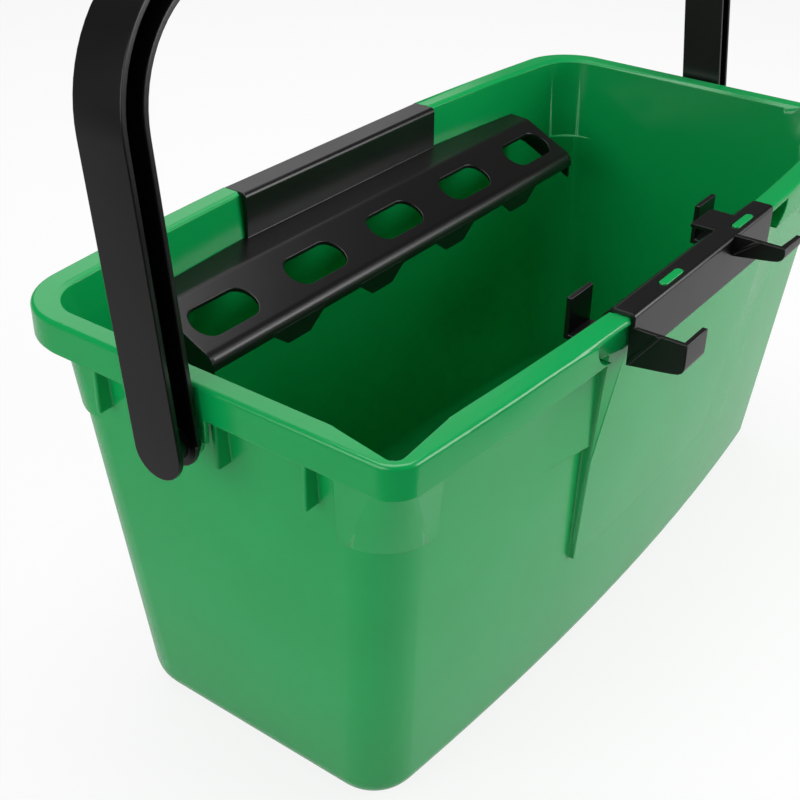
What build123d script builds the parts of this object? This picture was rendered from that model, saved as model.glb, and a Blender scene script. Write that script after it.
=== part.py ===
from build123d import *
import os
from math import sqrt

# Window cleaning bucket. Millimetres, +Z up, X along the length, Y across, the origin on the floor
# under the middle of the tub. The front, with the spouts and the tool holder, faces -Y.

# Rim and tub
rim_half_length = 272.5
rim_half_width = 123.5      # at the short sides, where the bowed long sides meet them
front_bow = 13.0            # how far the front bows out at mid-length
back_bow = 16.5             # how far the back bows out at mid-length
rim_height = 256.0
rim_flat = 11.0             # from the rim's outer edge to the outside of the wall
rim_thickness = 3.2
rim_edge_radius = 2.5
mouth_chamfer = 2.0
rim_front_radius = 14.5
rim_back_radius = 40.0
skirt_height = 18.0
skirt_wall = 2.6
wall = 2.8
floor_thickness = 4.0
draft = 0.085               # inward run of the walls per unit of depth
tub_front_radius = 28.0
tub_back_radius = 35.5
back_corner_radius = 29.0   # of the fuller back corners above their step
back_corner_depth = 61.0
bottom_radius = 16.0

# Pouring spouts at the two front corners
spout_span = 60.0           # from the rim's corner to where each side of the spout starts
spout_lip = 4.9             # from the rim's corner to the spout's tip, along each side
spout_depth = 62.0
spout_tip_radius = 5.0
spout_sink = 1.0            # how far the spout's sides are set into the walls they grow from
cheek_span = 44.0           # from the rim's corner to the ends of the swelling outside the spout
cheek_depth = 64.0
cheek_proud = 2.6

# Panel on the front wall
panel_top = 17.0            # depth below the rim
panel_bottom = 168.0
panel_top_half = 104.0
panel_bottom_half = 86.0
panel_top_proud = 7.6
panel_bottom_proud = 3.6
shoulder_depth = 80.0       # shoulder at each side of the panel
shoulder_proud = 5.0
shoulder_length = 55.0

# Ribs and pivot tongue under the skirt of each short side
rib_bottom = 48.0           # depth below the rim
rib_thickness = 2.6
rib_setback = 6.0           # from the skirt's outer face
outer_rib_y = 67.0
inner_rib_y = 13.5
tongue_half_width = 11.0
pivot_depth = 31.0

# Bail and its pins
arm_depth = 15.0
arm_width = 29.0
arm_plate = 3.0
arm_web = 4.0
arm_gap = 3.0               # from the skirt to the inside of the arm
bail_reach = 210.0          # from the pivot to the middle of the grip
bail_corner_radius = 65.0
bail_lean = 6.0             # degrees towards the back
grip_length = 140.0
grip_radius = 15.0
grip_end_radius = 4.0
inner_plate_radius = 13.0
hub_radius = 9.0
pin_radius = 5.0
pin_press = 0.02
pin_running = 0.05
pin_head_radius = 8.5
pin_head_thickness = 3.0
pin_grip = 12.0             # length of pin inside the arm
side_clearance = 0.3

# Sieve on the back rim
fit_clearance = 0.3
sieve_wall = 2.4
sieve_hook_half = 97.0
sieve_hook_drop = 13.0
sieve_half_length = 192.0
sieve_ledge_depth = 29.0
sieve_ledge_width = 20.0
sieve_ledge_fall = 2.0
sieve_lip_y = 61.0
sieve_lip_depth = 50.0
sieve_lip_height = 7.0
sieve_bend_radius = 2.0
sieve_fold_radius = 9.0     # at the tray's fold and its front lip
window_count = 5
window_length = 48.0
window_width = 20.0
window_margin = 8.0         # from the last window to the tray's end
sieve_foot_top = 44.0
sieve_foot_bottom = 20.0
sieve_foot_height = 9.0
sieve_end_drop = 16.0

# Tool holder on the front rim
holder_middle = -8.5
holder_half_length = 86.0
holder_wall = 2.2
holder_outer_drop = 26.5
holder_inner_drop = 24.0
holder_bend_radius = 1.3
tab_start = 24.0            # thumb tab on the inner edge of the holder's top
tab_length = 26.0
tab_reach = 12.0
hook_width = 23.0
hook_reach = 27.0
hook_taper = 0.16           # how far the arm's lower edge rises per unit of reach
hook_arm = 3.0
hook_round = 5.0            # at the lower corner of each outer hook's tip
hook_brace = 2.4
hook_brace_height = 1.0
near_hook_top = 5.0         # depth of the near hook's upper edge below the rim
far_hook_start = 24.0
far_hook_top = -2.5
far_hook_drop = 10.0
inner_hook_reach = 20.0
lug_half_spacing = 45.0
lug_length = 22.0
lug_width = 5.0
lug_height = 3.2
lug_setback = 2.2           # from the rim's outer edge
holder_chamfer = 4.0        # on the rim's inner edge under the holder
holder_sink = 0.6           # how far the rim's front edge is cut back under the holder
notch_length = 30.0         # of the skirt's notch beyond each end of the holder
notch_depth = 9.0           # at the notch's outer end
notch_end_depth = 2.5       # at the holder's end, where the notch is shallower
notch_radius = 14.0         # at the lower corner of the notch

pivot_z = rim_height - pivot_depth
arm_inner_x = rim_half_length + arm_gap
arm_middle_x = arm_inner_x + arm_depth / 2
window_pitch = (2 * (sieve_half_length - window_margin) - window_length) / (window_count - 1)
mouth_inset = rim_flat + wall                # from the rim's outer edge to the tub's inside
corner_inset = tub_front_radius * (1 - sqrt(0.5))  # from a square corner to its rounding, along each side


def inset_at(depth):
    """Distance from the rim's outer edge in to the outside of the wall at a depth."""
    return rim_flat + draft * depth


def plan(inset, front_radius, back_radius):
    """Plan outline: straight short sides, bowed long sides and rounded corners."""
    half_length = rim_half_length - inset
    half_width = rim_half_width - inset
    front_left, front_right = (-half_length, -half_width), (half_length, -half_width)
    back_left, back_right = (-half_length, half_width), (half_length, half_width)
    front = ThreePointArc(front_left, (0, -half_width - front_bow), front_right)
    right = Line(front_right, back_right)
    back = ThreePointArc(back_right, (0, half_width + back_bow), back_left)
    left = Line(back_left, front_left)
    face = make_face([front, right, back, left])
    face = fillet(face.vertices().filter_by(lambda corner: corner.Y < 0), front_radius)
    return fillet(face.vertices().filter_by(lambda corner: corner.Y > 0), back_radius)


def drafted(low_z, high_z, low_inset, high_inset, front_radius, back_radius):
    """Solid between two plan outlines at two heights."""
    low = Pos(Z=low_z) * plan(low_inset, front_radius, back_radius)
    high = Pos(Z=high_z) * plan(high_inset, front_radius, back_radius)
    return loft([low, high], ruled=True)


def front_edge(x):
    """Y of the rim's front edge at a place along the length."""
    return -rim_half_width - front_bow * (1 - (x / rim_half_length) ** 2)


def back_edge(x):
    """Y of the rim's back edge at a place along the length."""
    return rim_half_width + back_bow * (1 - (x / rim_half_length) ** 2)


def tub_solid(margin, bottom_z, corner_shrink, bottom_round):
    """Solid tub, drawn in by a margin, whose back corners are fuller above their step."""
    step_z = rim_height - back_corner_depth + margin
    front_radius = tub_front_radius - corner_shrink
    back_radius = tub_back_radius - corner_shrink
    full_radius = back_corner_radius - corner_shrink
    step_inset = inset_at(rim_height - step_z) + margin
    bottom_inset = inset_at(rim_height - bottom_z) + margin
    lower = drafted(bottom_z, step_z, bottom_inset, step_inset, front_radius, back_radius)
    lower = fillet(lower.edges().group_by(Axis.Z)[0], bottom_round)
    upper = drafted(step_z, rim_height, step_inset, inset_at(0) + margin, front_radius, full_radius)
    return lower + upper


def panel_solid(margin):
    """Front panel: a proud patch that narrows downwards, with its own draft, drawn in by a margin."""
    low_z = rim_height - panel_bottom
    high_z = rim_height - panel_top
    low_inset = inset_at(panel_bottom) - panel_bottom_proud + margin
    high_inset = inset_at(panel_top) - panel_top_proud + margin
    block = drafted(low_z, high_z, low_inset, high_inset, tub_front_radius, tub_back_radius)
    outline = make_face(Polyline(
        (-panel_bottom_half + margin, low_z + margin), (-panel_top_half + margin, high_z),
        (panel_top_half - margin, high_z), (panel_bottom_half - margin, low_z + margin),
        close=True,
    ))
    front_half = extrude(Plane.XZ * outline, rim_half_width + front_bow, dir=(0, -1, 0))
    return block & front_half


def panel_shoulder():
    """Left shoulder of the panel: a wedge on the wall that fades out along it."""
    root_x = -panel_bottom_half
    tail_x = root_x - shoulder_length
    outlines = []
    for depth in (shoulder_depth, panel_top):
        root_y = front_edge(root_x) + inset_at(depth)
        tail_y = front_edge(tail_x) + inset_at(depth) + wall / 2
        outline = make_face(Polyline(
            (root_x, root_y - shoulder_proud), (root_x, root_y + wall / 2), (tail_x, tail_y),
            close=True,
        ))
        outlines.append(Pos(Z=rim_height - depth) * outline)
    return loft(outlines, ruled=True)


def corner_solid(depth, span, top_points, low_points, top_radius, low_radius):
    """Solid in the left front corner between two outlines: a side point, a corner and a front point."""
    faces = []
    for z, points, radius in ((-depth, low_points, low_radius), (0, top_points, top_radius)):
        closing = (-rim_half_length + span, -rim_half_width + span)
        outline = make_face(Polyline(*points, closing, close=True))
        corner = outline.vertices().sort_by(lambda point: point.X + point.Y)[0]
        faces.append(Pos(Z=rim_height + z) * fillet(corner, radius))
    return loft(faces, ruled=True)


def corner_points(span, inset, tip):
    """Side point, corner and front point of an outline that runs at an inset and turns at a tip."""
    start_x = -rim_half_length + span
    return [
        (-rim_half_length + inset, -rim_half_width + span),
        (-rim_half_length + tip, -rim_half_width + tip),
        (start_x, front_edge(start_x) + inset),
    ]


def spout_hollow():
    """Hollow of the left spout: it leans out from the tub's corner to the rim's."""
    top_inset = mouth_inset + spout_sink
    low_inset = top_inset + draft * spout_depth
    top = corner_points(spout_span, top_inset, spout_lip)
    low = corner_points(spout_span, low_inset, low_inset + corner_inset)
    return corner_solid(spout_depth, spout_span, top, low, spout_tip_radius, spout_tip_radius)


def spout_cheeks():
    """Swelling outside the left spout: it stands proud of both walls and ends in a step."""
    low_inset = inset_at(cheek_depth) - cheek_proud
    top = corner_points(cheek_span, inset_at(0) - cheek_proud, spout_lip - wall)
    low = corner_points(cheek_span, low_inset, low_inset)
    return corner_solid(cheek_depth, cheek_span, top, low, spout_tip_radius + wall, tub_front_radius)


def both_ends(part):
    """A part and its mirror image at the other end."""
    return part + mirror(part, about=Plane.YZ)


def box_between(x_range, y_range, z_range):
    """Box from three ranges."""
    size = [high - low for low, high in (x_range, y_range, z_range)]
    middle = [(high + low) / 2 for low, high in (x_range, y_range, z_range)]
    return Pos(*middle) * Box(*size)


def disc(x_low, x_high, radius):
    """Round disc about the bail's pivot axis between two places along X."""
    return Pos(X=x_low) * extrude(Plane.YZ * Pos(0, pivot_z) * Circle(radius), x_high - x_low)


def rim_slab(inset, height):
    """Slab inside the rim's outline, from the skirt's lower edge up."""
    outline = plan(inset, rim_front_radius - inset, rim_back_radius - inset)
    return Pos(Z=rim_height - skirt_height) * extrude(outline, height)


def rim_ring(tub):
    """Rim flange with its hanging skirt, still closed over the tub's mouth."""
    slab = rim_slab(0, skirt_height)
    slab = fillet(slab.edges().group_by(Axis.Z)[-1], rim_edge_radius)
    pocket = rim_slab(skirt_wall, skirt_height - rim_thickness)
    return slab - (pocket - tub)


def left_end_details():
    """Ribs and pivot tongue under the skirt of the left short side."""
    skirt_x = -rim_half_length
    low_z = rim_height - rib_bottom
    skirt_low = rim_height - skirt_height
    high_z = rim_height - rim_thickness
    wall_x = -rim_half_length + inset_at(rib_bottom) + wall / 2
    details = Part()
    for y in (-outer_rib_y, -inner_rib_y, inner_rib_y, outer_rib_y):
        span = (y - rib_thickness / 2, y + rib_thickness / 2)
        details += box_between((skirt_x + rib_setback, wall_x), span, (low_z, high_z))
        details += box_between((skirt_x + skirt_wall / 2, wall_x), span, (skirt_low, high_z))
    tongue_x = (skirt_x, skirt_x + skirt_wall)
    details += box_between(tongue_x, (-inner_rib_y, inner_rib_y), (pivot_z, high_z - rim_edge_radius))
    return details + disc(*tongue_x, tongue_half_width)


def pivot_hole():
    """Hole through the left tongue for the bail's pin."""
    return disc(-rim_half_length, -rim_half_length + skirt_wall, pin_radius + pin_running)


def oval_pair(margin, low_z, high_z):
    """Two ovals on the front rim at its lugs, grown by a margin and drawn up between two heights."""
    outline = SlotOverall(lug_length + 2 * margin, lug_width + 2 * margin)
    ovals = Part()
    for x in (-lug_half_spacing, lug_half_spacing):
        y = front_edge(x) + lug_setback + lug_width / 2
        ovals += Pos(x, y, low_z) * extrude(outline, high_z - low_z)
    return ovals


def rim_lugs():
    """Two oval lugs on the front rim that locate the tool holder."""
    return oval_pair(0, rim_height - rim_thickness / 2, rim_height + lug_height)


def holder_ends():
    """X of the two ends of the tool holder."""
    return holder_middle - holder_half_length, holder_middle + holder_half_length


def skirt_notch(margin):
    """Notch in the front skirt around the tool holder, with rounded lower corners, grown by a margin."""
    low_x, high_x = holder_ends()
    far_low = low_x - notch_length - margin
    far_high = high_x + notch_length + margin
    plan_outline = make_face(Polyline(
        (far_low, front_edge(0) - margin), (far_low, front_edge(far_low) + notch_depth + margin),
        (low_x, front_edge(low_x) + notch_end_depth + margin),
        (high_x, front_edge(high_x) + notch_end_depth + margin),
        (far_high, front_edge(far_high) + notch_depth + margin), (far_high, front_edge(0) - margin),
        close=True,
    ))
    low_z = rim_height - skirt_height
    height = skirt_height - rim_thickness
    prism = Pos(Z=low_z) * extrude(plan_outline, height, dir=(0, 0, 1))
    front_outline = make_face(Polyline(
        (far_low, low_z), (far_low, low_z + height), (far_high, low_z + height), (far_high, low_z),
        close=True,
    ))
    front_outline = fillet(front_outline.vertices().group_by(Axis.Y)[0], notch_radius)
    return prism & extrude(Plane.XZ * front_outline, rim_half_width + front_bow + margin, dir=(0, -1, 0))


def holder_seat():
    """Cut that slopes the rim's inner edge under the tool holder."""
    low_x, high_x = holder_ends()
    edge_y = front_edge(low_x) + mouth_inset
    outline = make_face(Polyline(
        (edge_y - holder_chamfer, rim_height), (edge_y + holder_chamfer, rim_height),
        (edge_y + holder_chamfer, rim_height - 2 * holder_chamfer),
        close=True,
    ))
    return along_x(outline, low_x - fit_clearance, high_x + fit_clearance)


def holder_rebate():
    """Cut that straightens the rim's front edge under the tool holder."""
    low_x, high_x = holder_ends()
    return box_between((low_x - fit_clearance, high_x + fit_clearance),
                       (front_edge(0) - holder_sink, front_edge(low_x) + holder_sink),
                       (rim_height - skirt_height, rim_height))


def sieve_rebate(margin):
    """Rebate in the back rim that the sieve's hook lies flush in, grown by a margin."""
    half = sieve_hook_half + fit_clearance + margin
    depth = sieve_wall + fit_clearance + margin
    outer_y = back_edge(sieve_hook_half)
    inner_y = outer_y - mouth_inset - wall
    far_y = back_edge(0) + rim_flat
    low_z = rim_height - sieve_hook_drop - fit_clearance - margin
    top = box_between((-half, half), (inner_y, far_y), (rim_height - depth, rim_height))
    return top + box_between((-half, half), (outer_y - depth, far_y), (low_z, rim_height))


def mouth_flare():
    """Chamfer around the inner edge of the rim."""
    low_z = rim_height - mouth_chamfer
    high_inset = mouth_inset - mouth_chamfer
    front_radius = tub_front_radius - wall
    back_radius = back_corner_radius - wall
    return drafted(low_z, rim_height, mouth_inset, high_inset, front_radius, back_radius)


def make_bucket_body():
    """The green tub with its rim, spouts, ribs, panel and lugs."""
    front_details = panel_solid(0) + both_ends(panel_shoulder() + spout_cheeks())
    tub = tub_solid(0, 0, 0, bottom_radius) + front_details
    body = tub + rim_ring(tub) + both_ends(left_end_details())
    body += skirt_notch(skirt_wall) & rim_slab(0, skirt_height)
    body += sieve_rebate(skirt_wall) & rim_slab(skirt_wall / 2, skirt_height - rim_thickness / 2)
    body -= skirt_notch(0) - tub
    body -= sieve_rebate(0) + holder_rebate()
    cavity = tub_solid(wall, floor_thickness, wall, bottom_radius - wall) + panel_solid(wall)
    body -= cavity + mouth_flare() + holder_seat()
    body -= both_ends(spout_hollow())
    body -= both_ends(pivot_hole())
    return body + rim_lugs()


def make_bail():
    """Bail: I-section arms and bar in one sweep, a grip in the middle and a hub at each pivot."""
    top_z = pivot_z + bail_reach
    path = FilletPolyline(
        (-arm_middle_x, 0, pivot_z), (-arm_middle_x, 0, top_z),
        (arm_middle_x, 0, top_z), (arm_middle_x, 0, pivot_z),
        radius=bail_corner_radius)
    groove_depth = (arm_width - arm_web) / 2
    section = Rectangle(arm_depth, arm_width)
    for side in (-1, 1):
        groove_y = side * (arm_web + groove_depth) / 2
        section -= Pos(0, groove_y) * Rectangle(arm_depth - 2 * arm_plate, groove_depth)
    bail = sweep(Pos(-arm_middle_x, 0, pivot_z) * section, path)
    grip = fillet(Cylinder(grip_radius, grip_length).edges(), grip_end_radius)
    bail += Pos(0, 0, top_z) * Rot(0, 90, 0) * grip
    bail += both_ends(left_hub())
    bail -= both_ends(pin_socket())
    return bail_turned(bail)


def left_hub():
    """Rounded lower end of the left arm: outer plate, inner plate and the hub between them."""
    outer_x = -arm_inner_x - arm_depth
    hub = disc(outer_x, outer_x + arm_plate, arm_width / 2)
    hub += disc(-arm_inner_x - arm_plate, -arm_inner_x, inner_plate_radius)
    return hub + disc(outer_x + arm_plate / 2, -rim_half_length - side_clearance, hub_radius)


def pin_socket():
    """Blind hole in the left arm that grips the pin."""
    mouth_x = -rim_half_length - side_clearance
    return disc(mouth_x - pin_grip, mouth_x, pin_radius - pin_press)


def bail_turned(part):
    """A part of the bail, leaned back about the pivot axis."""
    return Pos(Z=pivot_z) * Rot(-bail_lean, 0, 0) * Pos(Z=-pivot_z) * part


def make_pivot_pin():
    """Left pin: a shaft pressed into the arm, through the tongue, with a head behind the tongue."""
    head_x = -rim_half_length + skirt_wall + side_clearance
    shaft = disc(-rim_half_length - side_clearance - pin_grip, head_x, pin_radius)
    return bail_turned(shaft + disc(head_x, head_x + pin_head_thickness, pin_head_radius))


def strip(points, width, radius):
    """Band of a given thickness along a bent line in the YZ plane."""
    return trace(FilletPolyline(*points, radius=radius), width)


def along_x(sketch, x_low, x_high):
    """A YZ sketch drawn out along X between two places."""
    return Pos(X=x_low) * extrude(Plane.YZ * sketch, x_high - x_low, dir=(1, 0, 0))


def make_sieve():
    """Sieve tray that hangs over the back rim."""
    half_wall = sieve_wall / 2
    top_z = rim_height - half_wall
    outer_y = back_edge(sieve_hook_half) - half_wall
    ledge_z = rim_height - sieve_ledge_depth
    plate_inset = mouth_inset + fit_clearance + half_wall + draft * sieve_ledge_depth
    plate_y = back_edge(sieve_hook_half) - plate_inset
    ledge_y = plate_y - sieve_ledge_width
    ledge_slope = sieve_ledge_fall / (sieve_ledge_width + rim_flat)
    hook_z = ledge_z - ledge_slope * rim_flat
    hook_end = sieve_ledge_width / 2
    hook = along_x(strip([
        (outer_y, rim_height - sieve_hook_drop), (outer_y, top_z), (plate_y, top_z),
        (plate_y, hook_z), (plate_y - hook_end, hook_z - ledge_slope * hook_end),
    ], sieve_wall, sieve_bend_radius), -sieve_hook_half, sieve_hook_half)
    lip_z = rim_height - sieve_lip_depth
    tray = along_x(strip([
        (plate_y + rim_flat, ledge_z), (ledge_y, ledge_z - sieve_ledge_fall),
        (sieve_lip_y, lip_z), (sieve_lip_y, lip_z - sieve_lip_height),
    ], sieve_wall, sieve_fold_radius), -sieve_half_length, sieve_half_length)
    tray += both_ends(sieve_end(plate_y, ledge_y, ledge_z, lip_z))
    margin = wall + fit_clearance
    tray &= tub_solid(margin, floor_thickness, margin, bottom_radius - margin)
    low_z = lip_z - sieve_lip_height
    return hook + tray + sieve_feet(low_z) - sieve_windows(ledge_y, low_z)


def sieve_end(plate_y, ledge_y, ledge_z, lip_z):
    """Plate that hangs from the left end of the tray."""
    outline = make_face(Polyline(
        (plate_y, ledge_z), (ledge_y, ledge_z - sieve_ledge_fall), (sieve_lip_y, lip_z),
        (sieve_lip_y, lip_z - sieve_end_drop), (ledge_y, ledge_z - sieve_ledge_fall - sieve_end_drop),
        (plate_y, ledge_z - sieve_end_drop),
        close=True,
    ))
    return along_x(outline, -sieve_half_length, -sieve_half_length + sieve_wall)


def window_row(count):
    """Places along X for a row that keeps the windows' pitch, about the middle."""
    return [(index - (count - 1) / 2) * window_pitch for index in range(count)]


def sieve_windows(ledge_y, low_z):
    """Oval holes through the sloping part of the tray."""
    middle_y = (ledge_y + sieve_lip_y) / 2
    windows = Part()
    for x in window_row(window_count):
        outline = Pos(x, middle_y, low_z) * SlotOverall(window_length, window_width)
        windows += extrude(outline, rim_height - low_z)
    return windows


def sieve_feet(low_z):
    """Tapered feet that hang from the tray's front lip between the windows."""
    foot_z = low_z - sieve_foot_height
    outline = make_face(Polyline(
        (-sieve_foot_top / 2, low_z), (-sieve_foot_top / 2, low_z + sieve_wall),
        (sieve_foot_top / 2, low_z + sieve_wall), (sieve_foot_top / 2, low_z),
        (sieve_foot_bottom / 2, foot_z), (-sieve_foot_bottom / 2, foot_z),
        close=True,
    ))
    foot = Pos(Y=sieve_lip_y + sieve_wall / 2) * extrude(Plane.XZ * outline, sieve_wall, dir=(0, -1, 0))
    feet = Part()
    for x in window_row(window_count - 1):
        feet += Pos(X=x) * foot
    return feet


def make_tool_holder():
    """Saddle over the front rim with hooks outside and inside."""
    low_x, high_x = holder_ends()
    half_wall = holder_wall / 2
    seat = fit_clearance + half_wall
    slope_shift = seat * (sqrt(2) - 1)           # moves a bend so that the sloping part keeps its clearance
    outer_y = front_edge(low_x) + holder_sink - seat
    edge_y = front_edge(low_x) + mouth_inset
    inner_y = edge_y + seat + draft * holder_inner_drop
    top_z = rim_height + seat
    bend_y = edge_y - holder_chamfer + slope_shift
    lean = draft * holder_chamfer
    saddle = along_x(strip([
        (outer_y, rim_height - holder_outer_drop), (outer_y, top_z), (bend_y, top_z),
        (edge_y + seat + lean, rim_height - holder_chamfer + slope_shift - lean),
        (inner_y, rim_height - holder_inner_drop),
    ], holder_wall, holder_bend_radius), low_x, high_x)
    tab = box_between((tab_start, tab_start + tab_length), (bend_y, edge_y + tab_reach),
                      (top_z - half_wall, top_z + half_wall))
    holder = saddle + tab
    holder += outer_hook(low_x, outer_y, near_hook_top, holder_outer_drop)
    holder += outer_hook(far_hook_start, outer_y, far_hook_top, far_hook_drop)
    for start_x in (low_x, high_x - hook_width):
        holder += inner_hook(start_x, inner_y)
    return holder - lug_slots()


def outer_hook(start_x, flange_y, top_depth, bottom_depth):
    """Hook outside the rim: an arm that stands out and a lip that runs along from its tip."""
    low_z = rim_height - bottom_depth
    high_z = rim_height - top_depth
    lip_y = flange_y - hook_reach
    tip_y = lip_y - hook_arm
    tip_z = low_z + hook_taper * hook_reach
    profile = make_face(Polyline(
        (flange_y, low_z), (flange_y, high_z), (tip_y, high_z), (tip_y, tip_z), close=True,
    ))
    profile = fillet(profile.vertices().sort_by(Axis.X)[:2].sort_by(Axis.Y)[0], hook_round)
    x_range = (start_x, start_x + hook_width)
    arm = along_x(profile, start_x, start_x + hook_arm)
    lip = along_x(profile, *x_range) & box_between(x_range, (tip_y, lip_y), (low_z, high_z))
    brace_y = (flange_y + lip_y) / 2
    brace_foot = hook_brace * (high_z - low_z) / (flange_y - brace_y)
    brace = along_x(make_face(Polyline(
        (flange_y, low_z), (flange_y, low_z + brace_foot), (brace_y, high_z),
        (brace_y - hook_brace, high_z), close=True,
    )), start_x - hook_brace_height, start_x)
    return arm + lip + brace


def inner_hook(start_x, flange_y):
    """Hook inside the rim: a floor that runs inwards and a lip that stands up from its end."""
    low_z = rim_height - holder_inner_drop
    lip_y = flange_y + inner_hook_reach
    x_range = (start_x, start_x + hook_width)
    base = box_between(x_range, (flange_y, lip_y), (low_z, low_z + hook_arm))
    return base + box_between(x_range, (lip_y - hook_arm, lip_y), (low_z, rim_height))


def lug_slots():
    """Slots in the holder's top for the rim's lugs."""
    return oval_pair(fit_clearance, rim_height, rim_height + fit_clearance + holder_wall)


left_pin = make_pivot_pin()
pieces = {
    "bucket_body": make_bucket_body(),
    "bail_handle": make_bail(),
    "pivot_pin_left": left_pin,
    "pivot_pin_right": mirror(left_pin, about=Plane.YZ),
    "sieve": make_sieve(),
    "tool_holder": make_tool_holder(),
}

os.makedirs("parts", exist_ok=True)
for name, piece in pieces.items():
    export_step(piece, f"parts/{name}.step")
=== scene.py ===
"""Window cleaning bucket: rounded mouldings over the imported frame, plastic finishes and a white studio."""

import logging
import math
from dataclasses import dataclass
from enum import Enum
from typing import Any, Optional, Sequence, Union

import bpy
import numpy as np
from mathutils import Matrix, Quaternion, Vector
from mathutils.bvhtree import BVHTree


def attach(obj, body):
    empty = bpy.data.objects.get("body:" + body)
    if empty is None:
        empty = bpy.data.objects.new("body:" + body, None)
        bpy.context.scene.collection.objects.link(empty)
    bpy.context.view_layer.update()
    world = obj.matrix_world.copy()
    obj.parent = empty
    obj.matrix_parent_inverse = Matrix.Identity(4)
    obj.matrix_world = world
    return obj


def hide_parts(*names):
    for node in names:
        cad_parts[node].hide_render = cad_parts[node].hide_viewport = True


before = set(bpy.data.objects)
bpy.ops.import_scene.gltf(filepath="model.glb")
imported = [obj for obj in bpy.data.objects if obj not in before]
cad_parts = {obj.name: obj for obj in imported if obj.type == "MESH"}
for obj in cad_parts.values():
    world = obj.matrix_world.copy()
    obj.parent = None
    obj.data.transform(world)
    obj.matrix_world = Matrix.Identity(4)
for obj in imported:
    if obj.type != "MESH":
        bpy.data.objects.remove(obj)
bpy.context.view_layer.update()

log = logging.getLogger("window_cleaning_bucket")

Number = Union[int, float]
Colour = tuple[float, float, float]
Point = tuple[float, float, float]
MILLIMETRE = 0.001
MERGE_GAP = 0.001 * MILLIMETRE      # vertices nearer to each other than this are one vertex
FLAT_ANGLE = math.radians(0.05)     # neighbouring triangles within this angle are one face
SHORTEST_LINE = 1e-18               # squared length below which a line counts as a point
SMALLEST_AREA = 1e-10               # square metres below which a triangle's direction means nothing
TURNED_OVER = -0.2                  # cosine below which a triangle faces away from the plain surface
FOLD_REACH = 1.6                    # edge radii that a rounded surface may lie off the plain one
FOLD_CLEARANCE = 2.0                # edge radii around a fold within which edges stay sharp
WHITE = (1.0, 1.0, 1.0, 1.0)
MIX_FIRST = 6                       # the Mix node's colour sockets, which share their names with others
MIX_SECOND = 7
MIX_RESULT = 2


class Slot(Enum):
    """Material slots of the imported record."""

    GREEN = "green_plastic"
    BLACK = "black_plastic"


class Body(Enum):
    """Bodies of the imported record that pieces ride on."""

    BUCKET = "bucket"
    BAIL = "bail"
    SIEVE = "sieve"
    HOLDER = "holder"


class Channel:
    """One shader value: arithmetic on it adds Math nodes to its sheet."""

    def __init__(self, sheet: "NodeSheet", socket: bpy.types.NodeSocket) -> None:
        """Keeps the sheet and the output socket that carries the value."""
        self.sheet = sheet
        self.socket = socket

    def math(self, operation: str, *values: Union["Channel", Number]) -> "Channel":
        """The result of a new Math node with these inputs, in order."""
        node = self.sheet.add("ShaderNodeMath", {"operation": operation}, dict(enumerate(values)))
        return self.sheet.channel(node, 0)

    def __add__(self, other: Union["Channel", Number]) -> "Channel":
        """Sum."""
        return self.math("ADD", self, other)

    __radd__ = __add__

    def __mul__(self, other: Union["Channel", Number]) -> "Channel":
        """Product."""
        return self.math("MULTIPLY", self, other)

    __rmul__ = __mul__

    def __sub__(self, other: Union["Channel", Number]) -> "Channel":
        """Difference."""
        return self.math("SUBTRACT", self, other)

    def __rsub__(self, other: Union["Channel", Number]) -> "Channel":
        """Difference with this value taken away."""
        return self.math("SUBTRACT", other, self)

    def clamped(self) -> "Channel":
        """The value kept between 0 and 1."""
        return self.math("MINIMUM", self.math("MAXIMUM", self, 0.0), 1.0)

    def step(self, low: float, high: float) -> "Channel":
        """Smooth rise from 0 at low to 1 at high.

        Args:
            low: the value below which the result is 0.
            high: the value above which the result is 1.

        Returns:
            The smooth step.
        """
        node = self.sheet.add("ShaderNodeMapRange", {"interpolation_type": "SMOOTHSTEP"},
                              {"Value": self, "From Min": low, "From Max": high})
        return self.sheet.channel(node, "Result")


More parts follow.
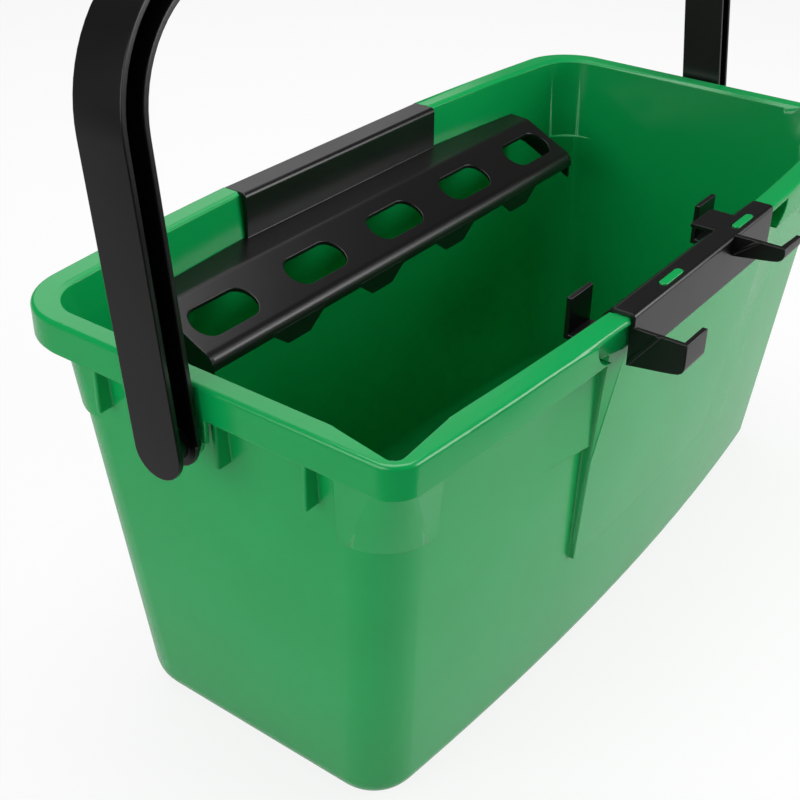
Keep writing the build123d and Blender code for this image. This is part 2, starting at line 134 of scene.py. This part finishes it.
class NodeSheet:
    """The node tree of a material or the world, and the one way of adding a node to it."""

    def __init__(self, tree: bpy.types.NodeTree) -> None:
        """Keeps the node tree to fill and empties it."""
        self.tree = tree
        tree.nodes.clear()

    def add(self, kind: str, settings: Optional[dict[str, Any]] = None,
            inputs: Optional[dict[Any, Any]] = None) -> bpy.types.Node:
        """Adds a node, sets it up and fills its sockets.

        Args:
            kind: the node's type.
            settings: its own settings, set before the sockets.
            inputs: socket name or number to a value, a channel or an output socket.

        Returns:
            The new node.
        """
        node = self.tree.nodes.new(kind)
        for name, value in (settings or {}).items():
            setattr(node, name, value)
        for key, value in (inputs or {}).items():
            if isinstance(value, Channel):
                value = value.socket
            if isinstance(value, bpy.types.NodeSocket):
                self.tree.links.new(value, node.inputs[key])
            else:
                node.inputs[key].default_value = value
        return node

    def channel(self, node: bpy.types.Node, output: Union[int, str]) -> Channel:
        """A node's output, given by its name or number, as a channel."""
        return Channel(self, node.outputs[output])

    def place(self) -> bpy.types.NodeSocket:
        """Object coordinates, in metres in the part's own frame."""
        return self.add("ShaderNodeTexCoord").outputs["Object"]

    def axes(self, vector: bpy.types.NodeSocket) -> list[Channel]:
        """X, Y and Z of the vector that a socket carries."""
        node = self.add("ShaderNodeSeparateXYZ", None, {"Vector": vector})
        return [Channel(self, output) for output in node.outputs]

    def noise(self, vector: bpy.types.NodeSocket, size: float, detail: float) -> Channel:
        """Noise between 0 and 1.

        Args:
            vector: where it is read.
            size: the size of its blotches in metres.
            detail: how many finer layers it has.

        Returns:
            The noise.
        """
        node = self.add("ShaderNodeTexNoise", None, {
            "Vector": vector, "Scale": 1.0 / size, "Detail": detail})
        return self.channel(node, "Fac")

    def mix(self, share: Channel, first: Colour, second: Colour) -> bpy.types.NodeSocket:
        """Mixes two colours.

        Args:
            share: how much of the second colour there is.
            first: the colour where the share is 0.
            second: the colour where the share is 1.

        Returns:
            The mixed colour's socket.
        """
        node = self.add("ShaderNodeMix", {"data_type": "RGBA"}, {
            "Factor": share, MIX_FIRST: (*first, 1.0), MIX_SECOND: (*second, 1.0)})
        return node.outputs[MIX_RESULT]


@dataclass(frozen=True)
class MouldedPlastic:
    """Satin polypropylene as it comes out of a polished mould.

    Attributes:
        name: the material's name.
        colour: its colour.
        deep_colour: its colour where the pigment is a little denser.
        roughness: the polish of the mould.
        roughness_spread: how much the polish varies over the piece.
        specular: strength of its mirror part.
        grain_size: size of the mould's fine grain in metres.
        grain_depth: depth of that grain in metres.
        sink_size: size of the slow waves left by cooling in metres.
        sink_depth: depth of those waves in metres.
        edge_softness: radius over which an edge catches the light in metres.
        edge_samples: how finely that is worked out.
        cloud_edges: noise values between which the colour goes over into the deep one.
    """

    name: str
    colour: Colour
    deep_colour: Colour
    roughness: float
    roughness_spread: float
    specular: float
    grain_size: float
    grain_depth: float
    sink_size: float
    sink_depth: float
    edge_softness: float
    edge_samples: int = 6
    cloud_edges: tuple[float, float] = (0.3, 0.7)

    def make(self) -> bpy.types.Material:
        """Builds the material.

        Returns:
            The finished material.
        """
        material = bpy.data.materials.new(self.name)
        material.use_nodes = True
        sheet = NodeSheet(material.node_tree)
        place = sheet.place()
        clouds = sheet.noise(place, self.sink_size, detail=3.0)
        grain = sheet.noise(place, self.grain_size, detail=1.0)
        waves = sheet.noise(place, self.sink_size * 2, detail=0.0)
        height = grain * self.grain_depth + waves * self.sink_depth
        edges = sheet.add("ShaderNodeBevel", {"samples": self.edge_samples}, {"Radius": self.edge_softness})
        bump = sheet.add("ShaderNodeBump", None, {
            "Strength": 1.0, "Distance": 1.0, "Height": height, "Normal": edges.outputs["Normal"]})
        shader = sheet.add("ShaderNodeBsdfPrincipled", None, {
            "Base Color": sheet.mix(clouds.step(*self.cloud_edges), self.colour, self.deep_colour),
            "Roughness": (clouds - 0.5) * self.roughness_spread + self.roughness,
            "Specular IOR Level": self.specular,
            "Normal": bump.outputs["Normal"],
        })
        sheet.add("ShaderNodeOutputMaterial", None, {"Surface": shader.outputs["BSDF"]})
        return material


GREEN_PLASTIC = MouldedPlastic(
    name="green_moulded_plastic",
    colour=(0.0015, 0.365, 0.086),
    deep_colour=(0.0015, 0.350, 0.080),
    roughness=0.22,
    roughness_spread=0.06,
    specular=0.5,
    grain_size=0.35 * MILLIMETRE,
    grain_depth=0.006 * MILLIMETRE,
    sink_size=60 * MILLIMETRE,
    sink_depth=0.08 * MILLIMETRE,
    edge_softness=0.8 * MILLIMETRE,
)

BLACK_PLASTIC = MouldedPlastic(
    name="black_moulded_plastic",
    colour=(0.0045, 0.0036, 0.0040),
    deep_colour=(0.0035, 0.0029, 0.0032),
    roughness=0.30,
    roughness_spread=0.08,
    specular=0.5,
    grain_size=0.5 * MILLIMETRE,
    grain_depth=0.010 * MILLIMETRE,
    sink_size=40 * MILLIMETRE,
    sink_depth=0.05 * MILLIMETRE,
    edge_softness=0.6 * MILLIMETRE,
)


def line_gap(spots: np.ndarray, start: np.ndarray, end: np.ndarray) -> float:
    """Distance from a line to the nearest of some points.

    Args:
        spots: the points, one to a row.
        start: one end of the line.
        end: its other end.

    Returns:
        The smallest distance.
    """
    run = end - start
    share = np.clip((spots - start) @ run / max(run @ run, SHORTEST_LINE), 0.0, 1.0)
    return float(np.linalg.norm(spots - start - share[:, None] * run, axis=1).min())


def deselect() -> None:
    """Leaves edit mode and clears the selection."""
    if bpy.context.object and bpy.context.object.mode != "OBJECT":
        bpy.ops.object.mode_set(mode="OBJECT")
    bpy.ops.object.select_all(action="DESELECT")


@dataclass
class Moulding:
    """A moulded piece that stands for one CAD node, with the edges rounded as a mould rounds them.

    Attributes:
        name: the piece's name.
        node: the CAD node whose shape it takes.
        body: the body it rides on.
        slot: the record's material slot.
        edge_radius: radius of its rounded edges in metres.
        edge_angle: edges sharper than this many degrees are rounded.
        smooth_angle: edges flatter than this many degrees are shaded smoothly.
        edge_steps: faces across each rounded edge.
        trials: how often the rounding is tried, each time with fewer edges.
    """

    name: str
    node: str
    body: Body
    slot: Slot
    edge_radius: float
    edge_angle: float = 28.0
    smooth_angle: float = 40.0
    edge_steps: int = 2
    trials: int = 4

    def build(self) -> bpy.types.Object:
        """Copies the node's shape, rounds its edges and smooths its shading.

        Returns:
            The piece, at the origin with its place in its mesh.
        """
        piece = self.copy_node()
        self.soften(piece)
        self.smooth(piece)
        return piece

    def copy_node(self) -> bpy.types.Object:
        """Copies the node's mesh and joins its loose triangles into whole faces.

        Returns:
            The new piece, selected and active.
        """
        deselect()
        piece = bpy.data.objects.new(self.name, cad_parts[self.node].data.copy())
        bpy.context.scene.collection.objects.link(piece)
        bpy.context.view_layer.objects.active = piece
        piece.select_set(True)
        bpy.ops.mesh.customdata_custom_splitnormals_clear()
        bpy.ops.object.mode_set(mode="EDIT")
        bpy.ops.mesh.select_mode(type="EDGE")
        bpy.ops.mesh.select_all(action="SELECT")
        bpy.ops.mesh.remove_doubles(threshold=MERGE_GAP)
        bpy.ops.mesh.select_all(action="SELECT")
        bpy.ops.mesh.dissolve_limited(angle_limit=FLAT_ANGLE)
        bpy.ops.mesh.select_all(action="DESELECT")
        bpy.ops.mesh.edges_select_sharp(sharpness=math.radians(self.edge_angle))
        bpy.ops.object.mode_set(mode="OBJECT")
        return piece

    def soften(self, piece: bpy.types.Object) -> None:
        """Rounds the selected edges, leaving out those where the rounding would fold a face over.

        Args:
            piece: the piece, with its sharp edges selected.
        """
        plain = piece.data
        ends = np.array([edge.vertices[:] for edge in plain.edges])
        points = np.array([vertex.co[:] for vertex in plain.vertices])
        surface = BVHTree.FromPolygons(points.tolist(), [face.vertices[:] for face in plain.polygons])
        chosen = np.array([edge.select for edge in plain.edges])
        for _ in range(self.trials):
            piece.data = plain.copy()
            self.bevel(piece, chosen, ends)
            spots = self.folded_spots(piece.data, surface)
            if not len(spots):
                break
            clearance = FOLD_CLEARANCE * self.edge_radius
            for index in np.flatnonzero(chosen):
                chosen[index] = line_gap(spots, *points[ends[index]]) > clearance
        piece.data.name = self.name
        bpy.data.meshes.remove(plain)

    def bevel(self, piece: bpy.types.Object, chosen: np.ndarray, ends: np.ndarray) -> None:
        """Rounds a choice of edges.

        Args:
            piece: the piece to change.
            chosen: for each edge, whether it is rounded.
            ends: the two vertices of each edge.
        """
        corners = np.zeros(len(piece.data.vertices), dtype=bool)
        corners[ends[chosen]] = True
        piece.data.vertices.foreach_set("select", corners)
        piece.data.edges.foreach_set("select", chosen)
        piece.data.polygons.foreach_set("select", np.zeros(len(piece.data.polygons), dtype=bool))
        bpy.ops.object.mode_set(mode="EDIT")
        bpy.ops.mesh.bevel(offset=self.edge_radius, offset_type="OFFSET", segments=self.edge_steps,
                           profile=0.5, affect="EDGES", clamp_overlap=False, loop_slide=False)
        bpy.ops.object.mode_set(mode="OBJECT")

    def folded_spots(self, mesh: bpy.types.Mesh, surface: BVHTree) -> np.ndarray:
        """Finds where rounding went wrong: points off the plain surface and triangles turned over.

        Args:
            mesh: the rounded mesh.
            surface: the surface before rounding.

        Returns:
            The corners of the faulty triangles, one to a row.
        """
        reach = FOLD_REACH * self.edge_radius
        points = np.array([vertex.co[:] for vertex in mesh.vertices])
        astray = np.array([surface.find_nearest(point, reach)[0] is None for point in points])
        mesh.calc_loop_triangles()
        spots = []
        for triangle in mesh.loop_triangles:
            corners = list(triangle.vertices)
            middle = Vector(points[corners].mean(axis=0))
            _, normal, _, gap = surface.find_nearest(middle)
            turned = triangle.area > SMALLEST_AREA and normal.dot(triangle.normal) < TURNED_OVER
            if turned or gap > reach or astray[corners].any():
                spots.extend(points[corners])
        return np.array(spots)

    def smooth(self, piece: bpy.types.Object) -> None:
        """Shades the piece smoothly, with flat faces kept flat.

        Args:
            piece: the piece, active and selected.
        """
        bpy.ops.object.shade_smooth_by_angle(angle=math.radians(self.smooth_angle))
        even = piece.modifiers.new("even_shading", "WEIGHTED_NORMAL")
        even.keep_sharp = True
        bpy.ops.object.modifier_apply(modifier=even.name)

    def dress(self, piece: bpy.types.Object, material: bpy.types.Material) -> None:
        """Gives the piece its finish and its place in the frame.

        Args:
            piece: the built piece.
            material: its finish.
        """
        piece.data.materials.clear()
        piece.data.materials.append(material)
        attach(piece, self.body.value)
        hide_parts(self.node)


@dataclass
class Tub(Moulding):
    """The green tub, shaded smoothly over its rim's rounded edge, which is coarse in the CAD mesh."""

    name: str = "tub_moulding"
    node: str = "bucket_body"
    body: Body = Body.BUCKET
    slot: Slot = Slot.GREEN
    edge_radius: float = 0.7 * MILLIMETRE
    edge_angle: float = 60.0
    smooth_angle: float = 60.0


@dataclass
class Bail(Moulding):
    """The carrying bail with its grip."""

    name: str = "bail_moulding"
    node: str = "bail_handle"
    body: Body = Body.BAIL
    slot: Slot = Slot.BLACK
    edge_radius: float = 0.7 * MILLIMETRE


@dataclass
class PivotPin(Moulding):
    """One of the two pins that hold the bail, named for its side."""

    body: Body = Body.BAIL
    slot: Slot = Slot.BLACK
    edge_radius: float = 0.4 * MILLIMETRE


@dataclass
class Sieve(Moulding):
    """The sieve that hangs over the back rim."""

    name: str = "sieve_moulding"
    node: str = "sieve"
    body: Body = Body.SIEVE
    slot: Slot = Slot.BLACK
    edge_radius: float = 0.5 * MILLIMETRE


@dataclass
class ToolHolder(Moulding):
    """The tool holder on the front rim."""

    name: str = "holder_moulding"
    node: str = "tool_holder"
    body: Body = Body.HOLDER
    slot: Slot = Slot.BLACK
    edge_radius: float = 0.6 * MILLIMETRE


@dataclass(frozen=True)
class SoftBox:
    """A large soft lamp that points at the bucket.

    Attributes:
        name: the lamp's name.
        position: where it stands, in metres.
        target: the point that it faces.
        width: its width in metres.
        height: its height in metres.
        watts: its power.
    """

    name: str
    position: Point
    target: Point
    width: float
    height: float
    watts: float

    def build(self) -> None:
        """Adds the lamp."""
        lamp = bpy.data.lights.new(self.name, "AREA")
        lamp.shape = "RECTANGLE"
        lamp.size = self.width
        lamp.size_y = self.height
        lamp.energy = self.watts
        holder = bpy.data.objects.new(self.name, lamp)
        bpy.context.scene.collection.objects.link(holder)
        holder.location = self.position
        aim = Vector(self.target) - Vector(self.position)
        holder.rotation_mode = "QUATERNION"
        holder.rotation_quaternion = aim.to_track_quat("-Z", "Y")


@dataclass(frozen=True)
class Studio:
    """White floor, soft lamps, pale surround and the camera.

    Attributes:
        eye: where the camera stands, in metres.
        heading: degrees that the view turns from +Y towards +X.
        dip: degrees that the view looks down.
        tilt: degrees that the camera is turned about its line of sight.
        lens: focal length in millimetres.
        sensor: width of the camera's sensor in millimetres.
        near_clip: distance in front of the camera where its view starts, in metres.
        floor_size: side of the floor in metres.
        floor_drop: how far the floor lies below the part in metres.
        floor_colour: colour of the floor where light falls on it.
        floor_white: share of plain white in what the camera sees of the floor.
        reflection_shade_edges: where the white floor ends in reflections and painted dark shade begins, each
            as the degrees that its inward direction turns from +X towards +Y and its place along that
            direction from the origin.
        reflection_shade_blur: width of these soft edges in metres.
        painted_reflection_glow: painted brightness of the floor in reflections at the bucket's left and
            along its front, which the bucket's walls show as painted sheen.
        glow_turn: X between which the one brightness goes over into the other.
        surround: strength of the light from all round.
        lamps: the soft lamps.
    """

    eye: Point = (-0.62032, -0.37471, 0.55849)
    heading: float = 54.118
    dip: float = 31.877
    tilt: float = 1.061
    lens: float = 58.351
    sensor: float = 36.0
    near_clip: float = 0.01
    floor_size: float = 12.0
    floor_drop: float = 0.0003
    floor_colour: Colour = (0.92, 0.92, 0.92)
    floor_white: float = 0.85
    reflection_shade_edges: Sequence[tuple[float, float]] = ((32.7, -0.487), (72.5, -0.400))
    reflection_shade_blur: float = 0.06
    painted_reflection_glow: tuple[float, float] = (0.42, 0.68)
    glow_turn: tuple[float, float] = (-0.45, -0.15)
    surround: float = 0.08
    lamps: Sequence[SoftBox] = (
        SoftBox("right_soft_box", (0.95, -1.45, 0.75), (0.0, -0.1, 0.15), width=1.3, height=1.0, watts=22.0),
        SoftBox("left_soft_box", (-1.60, 0.25, 0.80), (-0.2, 0.0, 0.15), width=1.2, height=1.0, watts=12.5),
        SoftBox("top_soft_box", (0.10, 0.20, 1.90), (0.0, 0.0, 0.2), width=1.6, height=1.2, watts=24.0),
        SoftBox("back_soft_box", (0.88, 1.17, 1.15), (0.0, 0.0, 0.2), width=1.2, height=1.0, watts=3.8),
    )

    def build(self) -> None:
        """Adds everything that isn't part of the bucket."""
        self.add_floor()
        self.add_surround()
        for lamp in self.lamps:
            lamp.build()
        self.add_camera()
        bpy.context.scene.view_settings.view_transform = "Standard"

    def add_floor(self) -> None:
        """Adds the white floor, which keeps a soft shadow and in reflections glows with painted light and
        painted shade.
        """
        deselect()
        bpy.ops.mesh.primitive_plane_add(size=self.floor_size, location=(0.0, 0.0, -self.floor_drop))
        floor = bpy.context.object
        floor.name = "floor"
        material = bpy.data.materials.new("floor_white")
        material.use_nodes = True
        sheet = NodeSheet(material.node_tree)
        paint = sheet.add("ShaderNodeBsdfDiffuse", None, {"Color": (*self.floor_colour, 1.0)})
        path = sheet.add("ShaderNodeLightPath")
        mirrored = sheet.channel(path, "Is Glossy Ray")
        seen = sheet.channel(path, "Is Camera Ray") + sheet.channel(path, "Is Transmission Ray")
        # painted reflection: in glossy rays the floor glows with a painted brightness pattern that comes
        # from no lamp
        strength = seen.clamped() + mirrored * self.painted_floor_reflection(sheet)
        glow = sheet.add("ShaderNodeEmission", None, {"Color": WHITE, "Strength": strength})
        share = (seen * self.floor_white + mirrored).clamped()
        blend = sheet.add("ShaderNodeMixShader", None, {
            "Fac": share, 1: paint.outputs[0], 2: glow.outputs[0]})
        sheet.add("ShaderNodeOutputMaterial", None, {"Surface": blend.outputs[0]})
        floor.data.materials.append(material)

    def painted_floor_reflection(self, sheet: NodeSheet) -> Channel:
        """How bright the floor is in reflections, as painted light: a painted white patch around the bucket
        and painted shade towards the camera, which the bucket reflects as painted sheen and shade.

        Args:
            sheet: the floor's node sheet.

        Returns:
            The brightness, from 0 to 1.
        """
        x, y, _ = sheet.axes(sheet.place())
        left, front = self.painted_reflection_glow
        # painted glow, dimmer at the bucket's left than along its front; beyond the edges below, painted
        # dark shade in reflections
        glow = x.step(*self.glow_turn) * (front - left) + left
        for heading, distance in self.reflection_shade_edges:
            turn = math.radians(heading)
            inside = x * math.cos(turn) + y * math.sin(turn) - distance
            glow = glow * inside.step(-self.reflection_shade_blur / 2, self.reflection_shade_blur / 2)
        return glow

    def add_surround(self) -> None:
        """Sets the light from all round, which the camera sees as white."""
        world = bpy.data.worlds.new("surround")
        bpy.context.scene.world = world
        world.use_nodes = True
        sheet = NodeSheet(world.node_tree)
        path = sheet.add("ShaderNodeLightPath")
        seen = sheet.channel(path, "Is Camera Ray")
        strength = seen * (1.0 - self.surround) + self.surround
        light = sheet.add("ShaderNodeBackground", None, {"Color": WHITE, "Strength": strength})
        sheet.add("ShaderNodeOutputWorld", None, {"Surface": light.outputs[0]})

    def add_camera(self) -> None:
        """Adds the camera at the photograph's viewing angle."""
        camera = bpy.data.objects.new("camera", bpy.data.cameras.new("camera"))
        bpy.context.scene.collection.objects.link(camera)
        camera.data.lens = self.lens
        camera.data.sensor_width = self.sensor
        camera.data.clip_start = self.near_clip
        camera.location = self.eye
        turn = math.radians(self.heading)
        dip = math.radians(self.dip)
        sight = Vector((math.sin(turn) * math.cos(dip), math.cos(turn) * math.cos(dip), -math.sin(dip)))
        camera.rotation_mode = "QUATERNION"
        roll = Quaternion((0.0, 0.0, 1.0), math.radians(self.tilt))
        camera.rotation_quaternion = sight.to_track_quat("-Z", "Y") @ roll
        bpy.context.scene.camera = camera


def main() -> None:
    """Builds the mouldings, dresses them and sets up the studio."""
    logging.basicConfig(level=logging.INFO)
    finishes = {Slot.GREEN: GREEN_PLASTIC.make(), Slot.BLACK: BLACK_PLASTIC.make()}
    mouldings = (
        Tub(),
        Bail(),
        PivotPin("left_pin_moulding", "pivot_pin_left"),
        PivotPin("right_pin_moulding", "pivot_pin_right"),
        Sieve(),
        ToolHolder(),
    )
    for moulding in mouldings:
        piece = moulding.build()
        moulding.dress(piece, finishes[moulding.slot])
        log.info("%s: %d faces", piece.name, len(piece.data.polygons))
    Studio().build()


if __name__ == "__main__":
    main()
